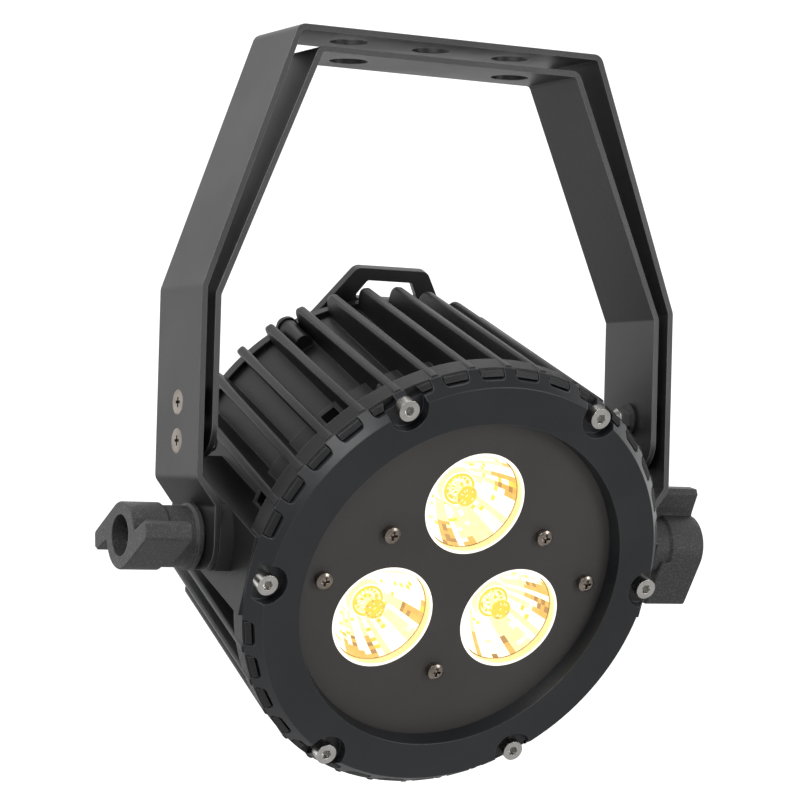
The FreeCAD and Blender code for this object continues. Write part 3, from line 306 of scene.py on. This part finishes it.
# Radius and height, in the head's own frame, of the cup's neck and lip and of the ring round its lip.
NECK = (0.0076, 0.0095)
LIP = (0.0167, 0.0264)
RIM = ((0.0170, 0.0264), (0.0170, 0.0295), (0.0180, 0.0295), (0.0180, 0.0254))
RINGS = 15
SECTORS = 48
RIM_SECTORS = 96
CORE_SECTORS = 32
# Tints of the painted glow that stands in for light reflected in the cups, on their rims and in the lens core.
WHITE = (1.35, 1.28, 1.14)
CREAM = (1.15, 1.02, 0.60)
YELLOW = (0.93, 0.76, 0.09)
ORANGE = (0.86, 0.50, 0.12)
BROWN = (0.36, 0.18, 0.07)
AMBER = (1.0, 0.80, 0.36)
UNLIT = (0.0, 0.0, 0.0)


def cup_point(step):
    """Radius and height up the cup, on a curve that bulges slightly outside the straight cone."""
    radius = NECK[0] + (LIP[0] - NECK[0]) * step
    height = NECK[1] + (LIP[1] - NECK[1]) * (0.55 * step + 0.45 * step * step)
    return radius, height


def near(angle, middle, half):
    """1 at the middle angle, falling to 0 at half the width to either side; angles in degrees."""
    away = abs((math.degrees(angle) - middle + 180) % 360 - 180)
    return max(0.0, 1.0 - away / half)


def facet_tint(ring, angle, mood):
    """Painted glow of one facet: white hot low down, yellow at the upper left, brown streaks near the rim."""
    outward = ring / (RINGS - 1)
    streaks = max(near(angle, 12, 46), near(angle, 262, 50)) * max(0.0, outward - 0.45) / 0.55
    draw = 0.80 * mood + 0.20 * rng.random()
    if draw < 0.10 + 0.55 * streaks and streaks > 0.15:
        tint = BROWN if rng.random() < 0.20 + 0.25 * (ring % 2) else ORANGE
    elif draw < 0.30 + 0.6 * near(angle, 135, 70) + 0.4 * near(angle, 310, 50):
        tint = CREAM
    elif rng.random() < 0.08:
        tint = YELLOW
    else:
        tint = WHITE
    heat = rng.uniform(0.86, 1.06)
    return tuple(heat * c for c in tint) + (1.0,)


def plain(colour):
    """Every face takes the same colour."""
    return lambda turn: (*colour, 1.0)


def speckled(first, second, share):
    """Each face takes one of two colours by chance."""
    return lambda turn: (*(first if rng.random() < share else second), 1.0)


# The lens core, a painted glowing image of the lit chip as the dome lens shows it: radius, height and face colours
# of each ring, from the neck inwards.
CORE = (
    (0.0074, 0.0098, plain(CREAM)),
    (0.0066, 0.0150, plain(WHITE)),
    (0.0060, 0.0174, plain(CREAM)),
    (0.0056, 0.0178, plain(WHITE)),
    (0.0047, 0.0178, plain(YELLOW)),
    (0.0043, 0.0168, speckled(CREAM, WHITE, 0.6)),
    (0.0032, 0.0166, speckled(YELLOW, CREAM, 0.5)),
    (0.0022, 0.0166, speckled(CREAM, WHITE, 0.5)),
    (0.0011, 0.0170, speckled(YELLOW, WHITE, 0.6)),
    (0.0011, 0.0222, plain(CREAM)),
    (0.0036, 0.0230, plain(YELLOW)),
    (0.0036, 0.0236, speckled(YELLOW, CREAM, 0.7)),
    (0.0027, 0.0238, speckled(YELLOW, ORANGE, 0.8)),
    (0.0018, 0.0240, speckled(YELLOW, CREAM, 0.7)),
    (0.0009, 0.0241, plain(YELLOW)),
)


def make_reflector(place, angle):
    """One cup of facets that glow with painted reflected light, with its rim and lens core, in place of the plain
    reflector and dome lens.
    """
    verts = []
    faces = []
    tints = []

    def ring_of(radius, height, count):
        start = len(verts)
        for k in range(count):
            turn = math.tau * k / count
            verts.append((radius * math.cos(turn), radius * math.sin(turn), height))
        return start

    def band(low, high, count, tint):
        for k in range(count):
            after = (k + 1) % count
            faces.append((low + k, low + after, high + after, high + k))
            tints.append(tint(math.tau * (k + 0.5) / count))

    starts = [ring_of(*cup_point(i / RINGS), SECTORS) for i in range(RINGS + 1)]
    moods = [rng.random() for _ in range(SECTORS)]
    for ring in range(RINGS):
        band(starts[ring], starts[ring + 1], SECTORS,
             lambda turn, ring=ring: facet_tint(ring, turn, moods[int(turn * SECTORS / math.tau)]))
    corners = [ring_of(*corner, RIM_SECTORS) for corner in (LIP, *RIM)]
    # The ring round the lip glows in painted bands of light: brown, amber and white, then unlit.
    for index, glow in enumerate((BROWN, AMBER, WHITE, UNLIT)):
        band(corners[index], corners[index + 1], RIM_SECTORS, plain(glow))
    core = [ring_of(radius, height, CORE_SECTORS) for radius, height, _ in CORE]
    for index in range(len(CORE) - 1):
        band(core[index + 1], core[index], CORE_SECTORS, CORE[index + 1][2])
    mesh = bpy.data.meshes.new("reflector_facets_" + place)
    mesh.from_pydata(verts, [], faces)
    mesh.flip_normals()
    layer = mesh.color_attributes.new("lit", "FLOAT_COLOR", "CORNER")
    for face, tint in zip(mesh.polygons, tints):
        for corner in face.loop_indices:
            layer.data[corner].color = tint
    cup = bpy.data.objects.new("reflector_facets_" + place, mesh)
    bpy.context.scene.collection.objects.link(cup)
    bearing = math.radians(angle)
    centre = (LENS_PITCH * math.cos(bearing), LENS_PITCH * math.sin(bearing), 0)
    cup.matrix_world = HEAD @ Matrix.Translation(centre)
    mesh.materials.append(MATERIALS["reflector_bright"])
    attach(cup, "head")
    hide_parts("reflector_" + place, "dome_lens_" + place)


for lens, lens_angle in LENSES.items():
    make_reflector(lens, lens_angle)


# ---------------------------------------------------------------- studio


# The way to the surround's bright side, and the surround's strength there and on the opposite side.
BRIGHT_WAY = (0.16, 0.95, 0.26)
BRIGHT = 1.22
GREY = 0.27
FLOOR_DROP = 1.6
FLOOR_RADIUS = 7.5
FLOOR_SIDES = 64
FLOOR_TONE = 0.62


def soft_light(name, spot, aim, size, watts):
    """White rectangular softbox at a spot, turned towards its aim."""
    data = bpy.data.lights.new(name, "AREA")
    data.shape = "RECTANGLE"
    data.size, data.size_y = size
    data.energy = watts
    lamp = bpy.data.objects.new(name, data)
    bpy.context.scene.collection.objects.link(lamp)
    lamp.location = spot
    lamp.rotation_euler = (Vector(aim) - Vector(spot)).to_track_quat("-Z", "Y").to_euler()


def make_surround():
    """A studio round the object: white behind and above it, falling smoothly to mid grey in front."""
    world = bpy.data.worlds.new("studio")
    bpy.context.scene.world = world
    world.use_nodes = True
    tree = world.node_tree
    place = tree.nodes.new("ShaderNodeTexCoord")
    facing = tree.nodes.new("ShaderNodeVectorMath")
    facing.operation = "DOT_PRODUCT"
    facing.inputs[1].default_value = BRIGHT_WAY
    tree.links.new(place.outputs["Generated"], facing.inputs[0])
    fall = tree.nodes.new("ShaderNodeMapRange")
    fall.interpolation_type = "SMOOTHSTEP"
    for name, number in (("From Min", 0.0), ("From Max", 0.55), ("To Min", GREY), ("To Max", BRIGHT)):
        fall.inputs[name].default_value = number
    tree.links.new(facing.outputs["Value"], fall.inputs["Value"])
    backdrop = tree.nodes["Background"]
    backdrop.inputs["Color"].default_value = (1, 1, 1, 1)
    tree.links.new(fall.outputs["Result"], backdrop.inputs["Strength"])


def make_floor():
    """Plain pale floor far below the hanging lamp."""
    corners = []
    for step in range(FLOOR_SIDES):
        turn = math.tau * step / FLOOR_SIDES
        corners.append((FLOOR_RADIUS * math.cos(turn), FLOOR_RADIUS * math.sin(turn), -FLOOR_DROP))
    mesh = bpy.data.meshes.new("floor")
    mesh.from_pydata(corners, [], [range(FLOOR_SIDES)])
    floor = bpy.data.objects.new("floor", mesh)
    bpy.context.scene.collection.objects.link(floor)
    s = Shader("floor_paint")
    s.put(Base_Color=(FLOOR_TONE, FLOOR_TONE, FLOOR_TONE, 1), Roughness=0.9)
    mesh.materials.append(s.material)


# Eye, aim, roll in radians and lens in millimetres, from a perspective fit to the object's known points.
EYE = Vector((-0.49946, -0.906575, -0.150106))
AIM = Vector((-0.008063, 0.0, -0.120091))
ROLL = 0.027
LENS = 138.76


def place_camera():
    """Camera at the eye, looking at the aim, rolled about its line of sight."""
    data = bpy.data.cameras.new("camera")
    data.sensor_width = 36.0
    data.lens = LENS
    data.clip_start = 0.01
    camera = bpy.data.objects.new("camera", data)
    bpy.context.scene.collection.objects.link(camera)
    ahead = (AIM - EYE).normalized()
    level = ahead.cross(Vector((0, 0, 1))).normalized()
    upright = level.cross(ahead)
    right = level * math.cos(ROLL) + upright * math.sin(ROLL)
    up = upright * math.cos(ROLL) - level * math.sin(ROLL)
    camera.matrix_world = Matrix((
        (right.x, up.x, -ahead.x, EYE.x),
        (right.y, up.y, -ahead.y, EYE.y),
        (right.z, up.z, -ahead.z, EYE.z),
        (0, 0, 0, 1)))
    bpy.context.scene.camera = camera


make_surround()
make_floor()
soft_light("key", (-1.05, -0.55, 0.75), (0, 0, -0.10), (0.7, 0.7), 11.5)
soft_light("top", (0.1, 0.15, 1.3), (0, 0, -0.10), (1.0, 0.8), 6.0)
soft_light("fill", (0.78, -1.32, -0.02), (0, 0, -0.12), (0.5, 0.8), 8.0)
soft_light("front", (-0.66, -1.04, 0.32), (0, 0, -0.12), (0.45, 0.3), 2.2)

bpy.context.scene.view_settings.view_transform = "Standard"
bpy.context.scene.view_settings.look = "None"

place_camera()
